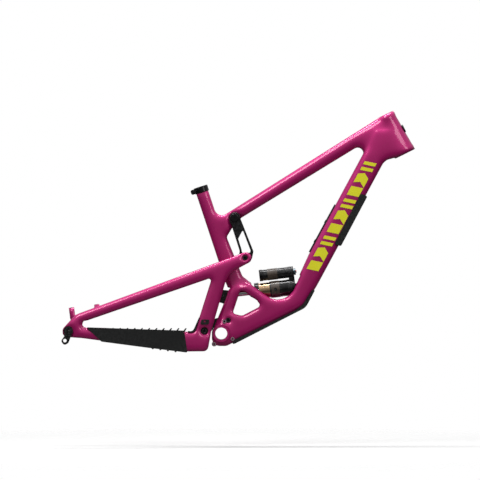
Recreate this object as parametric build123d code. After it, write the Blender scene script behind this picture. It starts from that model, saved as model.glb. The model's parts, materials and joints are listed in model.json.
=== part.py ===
from build123d import *
import math
import os

os.makedirs("parts", exist_ok=True)

# Units are millimetres. The origin is the centre of the bottom bracket.
# +X points to the front of the bicycle, +Y to its left and +Z up.

# ---------------------------------------------------------------- pivots (x, z)
REAR_AXLE = (-438.5, 9.0)
UPPER_FRAME_PIVOT = (38.0, 333.0)
UPPER_ARM_PIVOT = (69.0, 218.0)
LOWER_FRAME_PIVOT = (20.0, 38.5)
LOWER_ARM_PIVOT = (-48.0, 8.0)
SHOCK_REAR = (2.0, 110.0)
SHOCK_FRONT = (228.0, 136.0)

# ---------------------------------------------------------------- main sizes
SHELL_WIDTH = 73.0
SHELL_RADIUS = 26.0
SHELL_SLEEVE_RADIUS = 20.5
SHELL_THREAD_RADIUS = 17.4
HUB_SPACING = 148.0
TOP_TUBE_HALF = 20.0
STRUT_HALF = 24.5
DOWN_TUBE_HALF = 31.5
DOWN_TUBE_DEPTH = 63.0
SEAT_TUBE_RADIUS = 18.0
SEAT_BORE_RADIUS = 15.8
LINK_HALF = 16.0
LINK_SLOT_HALF = LINK_HALF + 0.6
HEAD_POCKET_HALF = TOP_TUBE_HALF - 7.6
TAB_FACE = DOWN_TUBE_HALF + 2.5
ARM_THICKNESS = 18.0
ARM_FRONT_GAP = 26.0
LINK_EYE_HALF = ARM_FRONT_GAP - 0.8
ARM_FRONT_X = 90.0
FIT = 0.05

# ---------------------------------------------------------------- head tube
HEAD_TOP = (473.6, 632.0)
HEAD_DROP = (0.4450, -0.8955)
HEAD_LENGTH = 127.6
HEAD_TOP_RADIUS = 26.0
HEAD_LOW_RADIUS = 32.0
UPPER_SEAT_BORE = 20.6
LOWER_SEAT_BORE = 26.05
SEAT_DEPTH = 9.0

# ---------------------------------------------------------------- seat clamp
SEAT_TOP = (-54.5, 406.2)
SEAT_LEAN = (-0.3148, 0.9492)
COLLAR_RADIUS = SEAT_TUBE_RADIUS + 1.6
COLLAR_HEIGHT = 18.0

# ---------------------------------------------------------------- pivot hardware
AXLE_RADIUS = 7.0
BEARING_RADIUS = 11.0
BEARING_WIDTH = 6.0
SHOCK_BOLT_RADIUS = 5.0
REAR_AXLE_RADIUS = 6.0
REAR_AXLE_BORE = 3.5

# ---------------------------------------------------------------- shock
CAN_RADIUS = 23.5
CAN_BORE = CAN_RADIUS - 3.5
TUNNEL_HALF = CAN_RADIUS + 2.7
COLLAR_END = 132.0
SHAFT_RADIUS = 9.0
RESERVOIR_RADIUS = 16.5
RESERVOIR_RISE = CAN_RADIUS + RESERVOIR_RADIUS + 4.0
EYE_RADIUS = 13.0
EYE_WIDTH = 20.0
LINK_SWING = 50.0
SHOCK_SWING_SHARE = 0.1268
SHOCK_STROKE = 58.4

# ---------------------------------------------------------------- storage door
DOOR_START = (255.6, 233.6)
TUBE_ALONG = (0.4757, 0.8796)
DOOR_LENGTH = 156.0
DOOR_WIDTH = 41.0
DOOR_PROUD = 3.5
DOOR_INSET = 2.6

# ---------------------------------------------------------------- brake mount
BRAKE_POSTS = ((-435.0, 73.9), (-361.6, 83.4))
BRAKE_TILT = (-0.1288, 0.9917)
BRAKE_Y = HUB_SPACING / 2 + 4.5


# ================================================================ helpers
def side_face(corners):
    """Closed side outline; every corner is x, z and the radius rounding it."""
    points = [(x, z) for x, z, radius in corners]
    radii = [radius for x, z, radius in corners]
    return make_face(FilletPolyline(*points, radius=radii, close=True))


def slab(face, low, high):
    """Side outline given thickness from y = low to y = high."""
    plane = Plane((0, high, 0), x_dir=(1, 0, 0), z_dir=(0, -1, 0))
    return extrude(plane * face, amount=high - low)


def rims(solid, low, high, shortest):
    """Edges of both flat sides that are at least the given length."""
    found = []
    for edge in solid.edges():
        box = edge.bounding_box()
        flat = box.max.Y - box.min.Y < 1e-4
        on_side = abs(box.min.Y - low) < 1e-4 or abs(box.max.Y - high) < 1e-4
        if flat and on_side and edge.length >= shortest:
            found.append(edge)
    return found


def pin(centre, radius, low, high):
    """Round bar across the bike between two y positions."""
    return Pos(centre[0], (low + high) / 2, centre[1]) * Rot(90, 0, 0) * Cylinder(radius, high - low)


def ring(centre, outer, inner, low, high):
    """Washer-like ring across the bike."""
    return pin(centre, outer, low, high) - pin(centre, inner, low - 1, high + 1)


def both(solid):
    """The solid together with its mirror image on the other side."""
    return Compound(children=[solid, mirror(solid, about=Plane.XZ)])


def axis_plane(start, along, across=0.0):
    """Plane at a side position whose Z runs along the given side direction."""
    return Plane((start[0], across, start[1]), x_dir=(0, 1, 0), z_dir=(along[0], 0, along[1]))


def rod(start, along, radius, low, high):
    """Round bar along a side direction between two distances from start."""
    middle = (low + high) / 2
    return axis_plane(start, along) * (Pos(0, 0, middle) * Cylinder(radius, high - low))


def socket(centre, size, low, high):
    """Six-sided key socket across the bike."""
    hexagon = RegularPolygon(size / 2, 6)
    plane = Plane((centre[0], high, centre[1]), x_dir=(1, 0, 0), z_dir=(0, -1, 0))
    return extrude(plane * hexagon, amount=high - low)


def save(name, solid):
    """Write one named piece."""
    solid.label = name
    export_step(solid, "parts/" + name + ".step")
    box = solid.bounding_box()
    print(name, round(solid.volume / 1000, 1), "cm3", len(solid.solids()), box.min, box.max)


# ================================================================ front triangle
def upper_slab():
    """Seat tube, gusset and top tube as one slab."""
    corners = [
        (449.5, 619.0, 0), (496.0, 587.0, 0), (512.0, 556.0, 0), (440.0, 500.0, 0), (400.0, 497.0, 0),
        (433.6, 563.0, 16), (58.0, 333.4, 20), (33.0, 306.5, 12), (15.5, 278.0, 12), (61.0, 165.5, 8),
        (116.0, 123.0, 0), (80.0, 108.0, 0), (32.0, 110.0, 0), (23.0, 122.0, 0), (10.8, 152.0, 0),
        (-71.6, 400.5, 0), (-37.4, 411.8, 0), (-10.15, 329.7, 22.5),
    ]
    solid = slab(side_face(corners), -TOP_TUBE_HALF, TOP_TUBE_HALF)
    kept = []
    for edge in rims(solid, -TOP_TUBE_HALF, TOP_TUBE_HALF, 8):
        middle = edge.center()
        at_head = middle.X > 455 or (middle.X > 395 and middle.Z < 520)
        at_foot = middle.Z < 160
        at_seat = middle.Z > 404 and middle.X < 0
        if not at_head and not at_foot and not at_seat:
            kept.append(edge)
    return fillet(kept, 13)


def strut_slab():
    """Narrow wall that carries the seat tube down to the bottom bracket."""
    corners = [
        (22.5, 128.5, 9), (64.0, 143.5, 0), (78.0, 118.0, 0), (78.0, 52.0, 0), (40.0, 0.0, 0),
        (-10.0, -16.0, 0), (-26.5, -6.0, 0), (-26.5, 2.0, 20), (-9.5, 45.0, 60), (13.5, 101.0, 60),
    ]
    return slab(side_face(corners), -STRUT_HALF, STRUT_HALF)


def lower_corners(grow):
    """Outline of the down tube and the bottom bracket area."""
    lift = grow
    return [
        (446.0 - lift, 586.0, 0), (495.9, 587.2, 0), (528.5, 521.5, 0), (503.0, 507.5, 0),
        (478.0 + lift, 500.5 - lift, 14), (466.5 + lift, 490.5, 16),
        (276.0 + lift, 138.5, 90), (238.5 + lift, 77.5 - lift, 26), (36.0, -25.5 - lift, 14),
        (15.0, -36.0 - lift, 16), (-12.0, -36.0 - lift, 16), (-27.0, -20.0, 16),
        (-27.0, 8.0, 16), (-12.0, 28.0, 30), (24.0, 56.0, 0), (50.0, 60.0, 0), (50.0, 125.0, 0),
        (57.0, 136.5, 0), (82.5, 147.3, 14), (182.2, 73.4, 51), (253.0, 229.0, 60),
    ]


def lower_slab():
    """Down tube, shock trough and bottom bracket area as one wide slab."""
    half = DOWN_TUBE_HALF
    solid = slab(side_face(lower_corners(0.0)), -half, half)
    kept = []
    for edge in rims(solid, -half, half, 0.5):
        middle = edge.center()
        at_head = middle.X > 490 or (middle.X > 446 and middle.Z > 570)
        at_window = 24 < middle.X < 60 and 55 < middle.Z < 140
        if not at_head and not at_window:
            kept.append(edge)
    return fillet(kept, 12)


def head_tube():
    """Tapered head tube with a small lip at both ends."""
    profile = [
        (0, 0), (HEAD_TOP_RADIUS, 0), (HEAD_TOP_RADIUS, 12), (HEAD_TOP_RADIUS - 0.8, 16),
        (HEAD_LOW_RADIUS - 1.2, HEAD_LENGTH - 18), (HEAD_LOW_RADIUS, HEAD_LENGTH - 13),
        (HEAD_LOW_RADIUS, HEAD_LENGTH), (0, HEAD_LENGTH),
    ]
    face = make_face(Polyline(*profile, close=True))
    turned = revolve(Plane.XZ * face, Axis.Z)
    return axis_plane(HEAD_TOP, HEAD_DROP) * turned


def head_bores():
    """Steerer passage and the two bearing pockets."""
    cut = rod(HEAD_TOP, HEAD_DROP, 17.5, -2, HEAD_LENGTH / 2)
    cut += rod(HEAD_TOP, HEAD_DROP, 22.0, HEAD_LENGTH / 2, HEAD_LENGTH + 2)
    cut += rod(HEAD_TOP, HEAD_DROP, UPPER_SEAT_BORE + 2.4, -2, SEAT_DEPTH)
    cut += rod(HEAD_TOP, HEAD_DROP, LOWER_SEAT_BORE + 2.6, HEAD_LENGTH - SEAT_DEPTH, HEAD_LENGTH + 2)
    return cut


def tube_box(low, high, depth_top, depth_low, half, corner):
    """Box in the down tube: along the tube, then depth below its upper face."""
    out = (-TUBE_ALONG[1], 0, TUBE_ALONG[0])
    plane = Plane((DOOR_START[0], 0, DOOR_START[1]), x_dir=(0, 1, 0), z_dir=out)
    # local x = across, local y = along the tube (upwards), local z = out of the upper face
    sign = 1.0 if plane.y_dir.Z > 0 else -1.0
    block = Box(2 * half, high - low, depth_low - depth_top)
    if corner > 0:
        block = fillet(block.edges().filter_by(Axis.Z), corner)
    return plane * (Pos(0, sign * (low + high) / 2, -(depth_top + depth_low) / 2) * block)


def shock_trough():
    """Space for the shock can between the two side walls."""
    corners = [
        (87.0, 76.0, 0), (214.0, 103.0, 10), (247.0, 110.0, 14), (247.0, 160.0, 8),
        (214.0, 172.0, 0), (190.0, 240.0, 0), (87.0, 240.0, 0),
    ]
    return slab(side_face(corners), -TUNNEL_HALF, TUNNEL_HALF)


def link_slot():
    """Space for the lower link and the rear eye of the shock."""
    corners = [
        (-60.0, 0.0, 0), (-60.0, 135.0, 0), (0.0, 132.0, 0), (100.0, 132.0, 0),
        (100.0, 60.0, 0), (68.0, 44.0, 10), (40.0, 19.0, 10), (10.0, 10.0, 0), (0.0, 0.0, 0),
    ]
    return slab(side_face(corners), -LINK_SLOT_HALF, LINK_SLOT_HALF)


def lower_window():
    """Opening behind the shock trough, right through the frame."""
    corners = [
        (32.5, 57.5, 7), (60.0, 50.5, 16), (115.0, 79.0, 9), (102.0, 97.0, 10), (84.0, 107.0, 14),
        (67.0, 123.0, 6), (54.5, 124.0, 5),
    ]
    return slab(side_face(corners), -60, 60)


def link_pocket():
    """Room for the side plates of the upper link around its pivot."""
    corners = [(19.0, 326.0, 0), (24.0, 292.0, 0), (80.0, 292.0, 0), (62.0, 345.0, 0), (38.0, 345.0, 0)]
    return slab(side_face(corners), HEAD_POCKET_HALF, 60) + pin(UPPER_FRAME_PIVOT, 18.0, HEAD_POCKET_HALF, 60)


def guard_tabs():
    """Three chain-guide bosses round the bottom bracket, drive side."""
    solid = None
    for spot in tab_positions():
        boss = pin(spot, 7.0, -TAB_FACE, -18.0)
        solid = boss if solid is None else solid + boss
    return solid


def tab_positions():
    """Side positions of the chain-guide bosses."""
    found = []
    for degrees in (75.4, -25.2, -123.9):
        found.append((36.2 * math.cos(math.radians(degrees)), 36.2 * math.sin(math.radians(degrees))))
    return found


def front_triangle():
    """The bonded front triangle."""
    solid = upper_slab() + lower_slab() + strut_slab()
    solid -= shock_trough()
    solid -= link_slot()
    solid -= lower_window()
    solid += pin((0, 0), SHELL_RADIUS, -SHELL_WIDTH / 2, SHELL_WIDTH / 2)
    solid += guard_tabs()
    solid += head_tube()
    solid -= head_bores()
    solid += rod(SEAT_TOP, SEAT_LEAN, SEAT_TUBE_RADIUS, -70, COLLAR_HEIGHT - 2)
    solid -= rod(SEAT_TOP, SEAT_LEAN, SEAT_BORE_RADIUS, -215, 40)
    slot = Pos(-15, 0, -4) * Box(30, 2.2, 44)
    solid -= axis_plane(SEAT_TOP, SEAT_LEAN) * (Rot(0, 0, 90) * slot)
    solid -= pin((0, 0), SHELL_SLEEVE_RADIUS + 2 * FIT, -60, 60)
    solid -= pin((0, 0), SHELL_SLEEVE_RADIUS + 4.0, SHELL_WIDTH / 2, 60)
    solid -= pin((0, 0), SHELL_SLEEVE_RADIUS + 4.0, -60, -SHELL_WIDTH / 2)
    cheek = link_pocket()
    solid -= cheek
    solid -= mirror(cheek, about=Plane.XZ)
    solid -= pin(UPPER_FRAME_PIVOT, BEARING_RADIUS + FIT, -30, 30)
    solid -= pin(LOWER_FRAME_PIVOT, AXLE_RADIUS + FIT, -60, 60)
    solid -= pin(LOWER_FRAME_PIVOT, AXLE_RADIUS + 2.0, DOWN_TUBE_HALF - 3.0, 60)
    solid -= pin(LOWER_FRAME_PIVOT, AXLE_RADIUS + 2.0, -60, 3.0 - DOWN_TUBE_HALF)
    solid -= pin(SHOCK_FRONT, SHOCK_BOLT_RADIUS + FIT, 2.5 - DOWN_TUBE_HALF, 60)
    solid -= pin(SHOCK_FRONT, 8.5, DOWN_TUBE_HALF - 2.5, 60)
    for spot in tab_positions():
        solid -= pin(spot, 4.2, -60, 12.0 - TAB_FACE)
    solid -= tube_box(-1.0, DOOR_LENGTH + 1.0, -8.0, DOOR_INSET + 0.2, DOOR_WIDTH / 2 + 0.4, 7)
    solid -= tube_box(6, DOOR_LENGTH - 6, -8.0, 20, DOOR_WIDTH / 2 - 4, 5)
    solid -= pin(door_hinge_point(), 5.3, -DOOR_WIDTH / 2 - 0.4, DOOR_WIDTH / 2 + 0.4)
    solid -= tube_box(-28, 262, 7.0, DOWN_TUBE_DEPTH - 6, DOWN_TUBE_HALF - 6, 9)
    core = Box(26, 24, 360)
    core = fillet(core.edges().filter_by(Axis.Z), 8)
    along = (0.8505, 0.5260)
    solid -= axis_plane((85.0, 369.5), along) * (Pos(0, 0, 190) * core)
    return solid


# ================================================================ parts fixed to the front triangle
def bracket_sleeve():
    """Threaded metal sleeve of the bottom bracket."""
    half = SHELL_WIDTH / 2
    solid = ring((0, 0), SHELL_SLEEVE_RADIUS, SHELL_THREAD_RADIUS, -half, half)
    solid += ring((0, 0), SHELL_SLEEVE_RADIUS, SHELL_THREAD_RADIUS, -half - 1.2, half + 1.2)
    solid += ring((0, 0), SHELL_SLEEVE_RADIUS + 3.5, SHELL_THREAD_RADIUS, half + FIT, half + 1.2)
    solid += ring((0, 0), SHELL_SLEEVE_RADIUS + 3.5, SHELL_THREAD_RADIUS, -half - 1.2, -half - FIT)
    for side in (-1, 1):
        for turn in range(6):
            centre = side * (half - 3.0 - 2.4 * turn)
            low, high = centre - 0.6, centre + 0.6
            solid -= ring((0, 0), SHELL_THREAD_RADIUS + 0.5, SHELL_THREAD_RADIUS - 1, low, high)
    return solid


def headset_seat(bore, wall, low, high):
    """Metal seat ring for a headset bearing."""
    outer = rod(HEAD_TOP, HEAD_DROP, bore + wall, low, high)
    return outer - rod(HEAD_TOP, HEAD_DROP, bore, low - 1, high + 1)


def head_badge():
    """Plain raised badge on the front of the head tube."""
    plate = Box(22, 24, 5)
    plate = fillet(plate.edges().filter_by(Axis.Z), 7)
    plate = fillet(plate.faces().sort_by(Axis.Z)[-1].edges(), 1.2)
    out = (0.8955, 0.4450)
    middle = (HEAD_TOP[0] + HEAD_DROP[0] * 60, HEAD_TOP[1] + HEAD_DROP[1] * 60)
    solid = axis_plane(middle, out) * (Pos(0, 0, 28.6) * plate)
    body = head_tube()
    return solid - Pos(0.1, 0, 0.05) * body


def seat_collar():
    """Clamp ring round the top of the seat tube with two bolt ears at the back."""
    ear = Pos(-COLLAR_RADIUS - 4, 0, 0) * Box(16, 24, COLLAR_HEIGHT - 4)
    ear = fillet(ear.edges().filter_by(Axis.Y), 5)
    solid = Cylinder(COLLAR_RADIUS + 1.0, COLLAR_HEIGHT)
    solid = fillet(solid.edges(), 1.5)
    solid += ear
    solid -= Cylinder(SEAT_TUBE_RADIUS + FIT, COLLAR_HEIGHT + 4)
    solid -= Pos(-COLLAR_RADIUS - 4, 0, 0) * Box(26, 2.4, COLLAR_HEIGHT + 4)
    solid -= Pos(-COLLAR_RADIUS - 6, 0, 0) * (Rot(90, 0, 0) * Cylinder(2.6, 60))
    return collar_frame() * solid


def collar_frame():
    """Placement of the seat clamp: local X forwards, local Z up the seat tube."""
    rise = COLLAR_HEIGHT / 2 + 0.4
    middle = (SEAT_TOP[0] + SEAT_LEAN[0] * rise, SEAT_TOP[1] + SEAT_LEAN[1] * rise)
    forward = (SEAT_LEAN[1], 0, -SEAT_LEAN[0])
    return Plane((middle[0], 0, middle[1]), x_dir=forward, z_dir=(SEAT_LEAN[0], 0, SEAT_LEAN[1]))


def seat_clamp_bolt():
    """Clamp bolt with a socket head."""
    shank = Rot(90, 0, 0) * Cylinder(2.5, 32)
    head = Pos(0, -15.4, 0) * (Rot(90, 0, 0) * Cylinder(4.2, 6.4))
    nut = Pos(0, 14.0, 0) * (Rot(90, 0, 0) * Cylinder(4.0, 3.6))
    key = Pos(0, -17.8, 0) * (Rot(90, 0, 0) * extrude(RegularPolygon(2.2, 6), amount=2.6, both=True))
    return collar_frame() * (Pos(-COLLAR_RADIUS - 6, 0, 0) * (shank + head + nut - key))


def wide_tube(grow):
    """Slightly larger copy of the wide slab, used to trim parts that lie on it."""
    half = DOWN_TUBE_HALF + grow
    face = side_face(lower_corners(0.0))
    solid = slab(offset(face, grow), -half, half)
    return solid


def down_tube_guard():
    """Rubber guard under the lower part of the down tube."""
    corners = [
        (33.0, -30.0, 2), (39.5, -29.0, 3), (243.5, 75.0, 34), (271.0, 126.5, 3), (262.0, 126.0, 3),
        (236.0, 85.5, 24), (214.0, 67.0, 30), (33.0, -20.0, 2),
    ]
    half = DOWN_TUBE_HALF + 2.2
    outer = slab(side_face(corners), -half, half)
    outer -= wide_tube(0.25)
    outer -= pin((0, 0), SHELL_RADIUS + 0.3, -60, 60)
    for spot in tab_positions():
        outer -= pin(spot, 7.3, -60, 0)
    return outer


def shuttle_guard():
    """Raised pad on the front of the down tube, wrapped round its sides."""
    corners = [(325.5, 257.0, 4), (345.0, 252.0, 4), (421.5, 396.0, 5), (401.5, 403.0, 4)]
    half = DOWN_TUBE_HALF + 1.8
    outer = slab(side_face(corners), -half, half)
    outer = outer - wide_tube(0.25)
    for step in range(9):
        start = (349.0 + TUBE_ALONG[0] * 15.5 * step, 260.0 + TUBE_ALONG[1] * 15.5 * step)
        groove = Box(2.4, 44, 2.0)
        ahead = (TUBE_ALONG[0], 0, TUBE_ALONG[1])
        place = Plane((start[0], 0, start[1]), x_dir=ahead, z_dir=(TUBE_ALONG[1], 0, -TUBE_ALONG[0]))
        outer -= place * (Pos(0, 0, 2.2) * groove)
    return outer


def tab_inserts():
    """Threaded inserts of the chain-guide bosses, one group."""
    pieces = []
    for spot in tab_positions():
        insert = ring(spot, 4.15, 3.0, -TAB_FACE - 0.6, 11.7 - TAB_FACE)
        insert += ring(spot, 5.2, 3.0, -TAB_FACE - 0.6, -TAB_FACE - FIT)
        pieces.append(insert)
    return Compound(children=pieces)


def cable_ports():
    """Rubber cable entry on the left side behind the head tube."""
    plate = Box(22, 14, 3.0)
    plate = fillet(plate.edges().filter_by(Axis.Z), 6.5)
    plate = fillet(plate.faces().sort_by(Axis.Z)[-1].edges(), 1.0)
    for shift in (-4.5, 4.5):
        plate -= Pos(shift, 0, 0) * Cylinder(2.6, 10)
    ahead = (TUBE_ALONG[0], 0, TUBE_ALONG[1])
    return Plane((452.0, DOWN_TUBE_HALF + 1.6, 524.0), x_dir=ahead, z_dir=(0, 1, 0)) * plate


def storage_door():
    """Door of the tube storage, with two bottle bosses."""
    lid = tube_box(0, DOOR_LENGTH, -DOOR_PROUD, DOOR_INSET, DOOR_WIDTH / 2, 7)
    lid -= tube_box(DOOR_LENGTH - 28.4, DOOR_LENGTH - 5.4, -9, -0.6, 11.4, 3)
    for along in (36.0, 100.0):
        lid -= door_hole(along, 2.6, 20)
        lid -= door_hole(along, 5.3, DOOR_PROUD - 1.2)
    lid -= pin(door_hinge_point(), 2.05, -60, 60)
    return lid


def door_hinge_point():
    """Centre of the hinge pin at the lower end of the door."""
    return side_point(3.6, 0.4)


def door_hinge_pin():
    """Hinge pin of the storage door."""
    return pin(door_hinge_point(), 2.0, -DOOR_WIDTH / 2 - 0.3, DOOR_WIDTH / 2 + 0.3)


def side_point(along, out):
    """Side position at a distance up the down tube and out of its upper face."""
    x = DOOR_START[0] + TUBE_ALONG[0] * along - TUBE_ALONG[1] * out
    z = DOOR_START[1] + TUBE_ALONG[1] * along + TUBE_ALONG[0] * out
    return (x, z)


def door_hole(along, radius, depth):
    """Drilling into the door from outside, measured from its proud face."""
    top = side_point(along, DOOR_PROUD + 0.01)
    inward = (TUBE_ALONG[1], -TUBE_ALONG[0])
    return rod(top, inward, radius, -1, depth)


def bottle_bolts():
    """Two bottle bolts on the door, one group."""
    pieces = []
    inward = (TUBE_ALONG[1], -TUBE_ALONG[0])
    for along in (36.0, 100.0):
        top = side_point(along, DOOR_PROUD)
        bolt = rod(top, inward, 5.0, -1.6, DOOR_PROUD - 1.3)
        bolt += rod(top, inward, 2.5, -1.6, 12)
        bolt -= axis_plane(top, inward) * extrude(RegularPolygon(2.4, 6), amount=1.4, both=True)
        pieces.append(bolt)
    return Compound(children=pieces)


def door_seal():
    """Rubber seal under the rim of the door."""
    solid = tube_box(1.5, DOOR_LENGTH - 1.5, DOOR_INSET + 0.02, DOOR_INSET + 0.18, DOOR_WIDTH / 2 - 1.0, 6)
    solid -= tube_box(6, DOOR_LENGTH - 6, -1, 12, DOOR_WIDTH / 2 - 4, 5)
    return solid


def storage_latch():
    """Small folding lever that locks the door."""
    lever = tube_box(DOOR_LENGTH - 27.8, DOOR_LENGTH - 7.4, -3.2, -0.9, 10.8, 3)
    lever += pin(latch_point(), 1.25, -10.8, 10.8)
    return lever


def latch_point():
    """Hinge centre of the latch lever."""
    return side_point(DOOR_LENGTH - 8.0, 2.05)


# ================================================================ swingarm
def splay():
    """Angle at which the arms open towards the rear hub."""
    reach = ARM_FRONT_X - REAR_AXLE[0]
    return math.degrees(math.atan((HUB_SPACING / 2 - ARM_FRONT_GAP) / reach))


def stretched(corners):
    """Outline lengthened so that the opened arm keeps its side view."""
    factor = 1.0 / math.cos(math.radians(splay()))
    return [(ARM_FRONT_X + (x - ARM_FRONT_X) * factor, z, radius) for x, z, radius in corners]


def opened(solid):
    """Turn a flat left arm piece to its place; y = 0 is its inner face."""
    return Pos(ARM_FRONT_X, ARM_FRONT_GAP, 0) * (Rot(0, 0, -splay()) * (Pos(-ARM_FRONT_X, 0, 0) * solid))


def arm_outline():
    """Outer outline of one arm."""
    return [
        (-455.5, 14.4, 15), (-418.8, 54.9, 30), (86.0, 241.2, 16.0), (86.0, 208.1, 13.0),
        (18.0, 171.9, 60), (-30.5, 5.0, 60), (-40.0, -50.5, 15), (-108.0, -51.0, 70),
        (-400.0, -12.0, 80), (-455.5, -7.8, 13),
    ]


def arm_window():
    """Opening between seatstay and chainstay."""
    return [
        (-384.0, 39.0, 20), (-400.0, 36.0, 7), (-406.0, 22.0, 7), (-396.0, 15.5, 6), (-350.0, 15.2, 60),
        (-77.6, 3.0, 13), (-27.1, 161.4, 6),
    ]


def flat_arm(grow):
    """One arm lying flat before it is opened towards the hub."""
    outer = side_face(stretched(arm_outline()))
    inner = side_face(stretched(arm_window()))
    if grow > 0:
        return slab(offset(outer, grow) - offset(inner, -grow), -grow, ARM_THICKNESS + grow)
    solid = slab(outer - inner, 0, ARM_THICKNESS)
    return fillet(rims(solid, 0, ARM_THICKNESS, 0.2), 5.5)


def stay_core(start, finish, wide, deep):
    """Hollow inside one stay."""
    length = math.dist(start, finish)
    along = ((finish[0] - start[0]) / length, (finish[1] - start[1]) / length)
    core = Box(wide, deep, length)
    core = fillet(core.edges().filter_by(Axis.Z), 3)
    place = Plane((start[0], ARM_THICKNESS / 2, start[1]), x_dir=(0, 1, 0), z_dir=(along[0], 0, along[1]))
    return place * (Pos(0, 0, length / 2) * core)


def post(spot, radius, low, high):
    """Round bar along the brake bolt direction, measured from the mounting face."""
    bar = Pos(0, 0, (low + high) / 2) * Cylinder(radius, high - low)
    return axis_plane(spot, BRAKE_TILT, BRAKE_Y) * bar


def swingarm():
    """Rear triangle with both arms and the two cross members."""
    arm = flat_arm(0.0)
    arm -= stay_core((-340.0, 64.5), (-60.0, 170.0), 11, 13)
    arm -= stay_core((-345.0, -2.0), (-110.0, -22.0), 11, 17)
    arm = opened(arm)
    arm += pin(LOWER_ARM_PIVOT, BEARING_RADIUS + 3.0, ARM_FRONT_GAP, ARM_FRONT_GAP + ARM_THICKNESS)
    arm += pin(UPPER_ARM_PIVOT, 15.0, ARM_FRONT_GAP, ARM_FRONT_GAP + 8.0)
    hub = pin(REAR_AXLE, 14.0, HUB_SPACING / 2, HUB_SPACING / 2 + 12)
    arm += hub
    solid = arm + mirror(arm, about=Plane.XZ)
    lower_bridge = side_face([(-66.0, 36.0, 4), (-54.0, 36.0, 4), (-32.0, 104.0, 5), (-44.5, 104.0, 5)])
    solid += slab(lower_bridge, -42, 42)
    upper_bridge = side_face([(-94.0, 155.5, 8), (-70.0, 161.5, 8), (-70.0, 180.0, 8), (-94.0, 172.0, 8)])
    solid += slab(upper_bridge, -48, 48)
    yoke = side_face([(-66.0, -46.0, 5), (-48.0, -44.0, 5), (-46.0, -28.0, 6), (-62.0, -28.0, 6)])
    solid += slab(yoke, -44, 44)
    solid += post(BRAKE_POSTS[0], 8.0, -34, 0)
    solid += post(BRAKE_POSTS[1], 8.0, -16, 0)
    solid -= post(BRAKE_POSTS[0], 4.6, -20, 1)
    solid -= post(BRAKE_POSTS[1], 4.6, -20, 1)
    solid -= pin(REAR_AXLE, REAR_AXLE_RADIUS + FIT, -120, 120)
    solid -= pin(REAR_AXLE, 11.0, HUB_SPACING / 2 + 10, 120)
    solid -= pin(REAR_AXLE, 13.6, -120, -HUB_SPACING / 2 - 8)
    cheek = side_face([(-458.0, 8.0, 0), (-422.0, 8.0, 0), (-430.0, -34.0, 0), (-464.0, -34.0, 0)])
    solid -= slab(cheek, -120, -HUB_SPACING / 2 - 8)
    for side in (-1, 1):
        low, high = sorted((side * 20, side * 120))
        solid -= pin(UPPER_ARM_PIVOT, AXLE_RADIUS + FIT, low, high)
        low, high = sorted((side * (ARM_FRONT_GAP + 13.0), side * 120))
        solid -= pin(UPPER_ARM_PIVOT, 8.6, low, high)
        low, high = sorted((side * 20, side * 120))
        solid -= pin(LOWER_ARM_PIVOT, BEARING_RADIUS + FIT, low, high)
    return solid


def protector_fins():
    """Leaning ribs along the top of the chainstay protector."""
    pieces = []
    for step in range(13):
        share = step / 12
        foot = -356.0 + 250.0 * share
        base = 13.2 - 9.0 * share
        rise = 4.5 + 7.5 * share
        corners = [
            (foot - 9.0, base - 3.0, 0), (foot - 2.5, base - 3.0, 0),
            (foot + 6.0, base + rise, 1.0), (foot + 3.2, base + rise, 1.0),
        ]
        pieces.append(slab(side_face(stretched(corners)), 2.0, ARM_THICKNESS - 2.0))
    for step in range(4):
        foot = -195.0 + 21.7 * step
        base = -38.2 - 2.9 * step
        corners = [
            (foot - 4.0, base + 3.0, 0), (foot + 5.0, base + 3.0, 0),
            (foot - 1.0, base - 6.0, 1.0), (foot - 4.5, base - 6.0, 1.0),
        ]
        pieces.append(slab(side_face(stretched(corners)), 2.0, ARM_THICKNESS - 2.0))
    return pieces


def chainstay_protector():
    """Ribbed rubber cover of the drive side chainstay."""
    corners = [
        (-388.0, 19.0, 2), (-108.0, 9.0, 3), (-99.0, -54.0, 3), (-215.0, -39.6, 20), (-344.0, -22.2, 2),
    ]
    body = slab(side_face(stretched(corners)), -2.2, ARM_THICKNESS + 2.2)
    for fin in protector_fins():
        body += fin
    body -= flat_arm(0.15)
    return mirror(opened(body), about=Plane.XZ)


def strut_protector():
    """Thin rubber strip on the wheel side of the drive side strut."""
    corners = [
        (-96.0, 3.6, 0), (-79.0, 1.0, 12), (-60.5, 46.0, 2),
        (-63.8, 47.5, 1), (-82.0, 6.5, 12), (-96.0, 8.0, 0),
    ]
    body = slab(side_face(stretched(corners)), 1.5, ARM_THICKNESS - 1.5)
    body -= flat_arm(0.15)
    return mirror(opened(body), about=Plane.XZ)


def cable_grommet():
    """Rubber cable exit on the outside of the drive side strut."""
    corners = [(-62.0, 27.0, 3), (-38.0, 27.0, 3), (-35.0, 41.0, 3), (-58.0, 41.0, 3)]
    body = slab(side_face(stretched(corners)), ARM_THICKNESS + 0.1, ARM_THICKNESS + 2.2)
    body -= Pos(-49.5, ARM_THICKNESS, 36.0) * (Rot(90, 0, 0) * Cylinder(3.2, 20))
    return mirror(opened(body), about=Plane.XZ)


def rear_axle():
    """Hollow through axle with a flanged head on the left."""
    half = HUB_SPACING / 2
    solid = pin(REAR_AXLE, REAR_AXLE_RADIUS, -half - 15, half + 16)
    solid += pin(REAR_AXLE, 10.0, half + 10.1, half + 16)
    solid -= pin(REAR_AXLE, REAR_AXLE_BORE, -half - 40, half + 40)
    return solid


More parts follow.
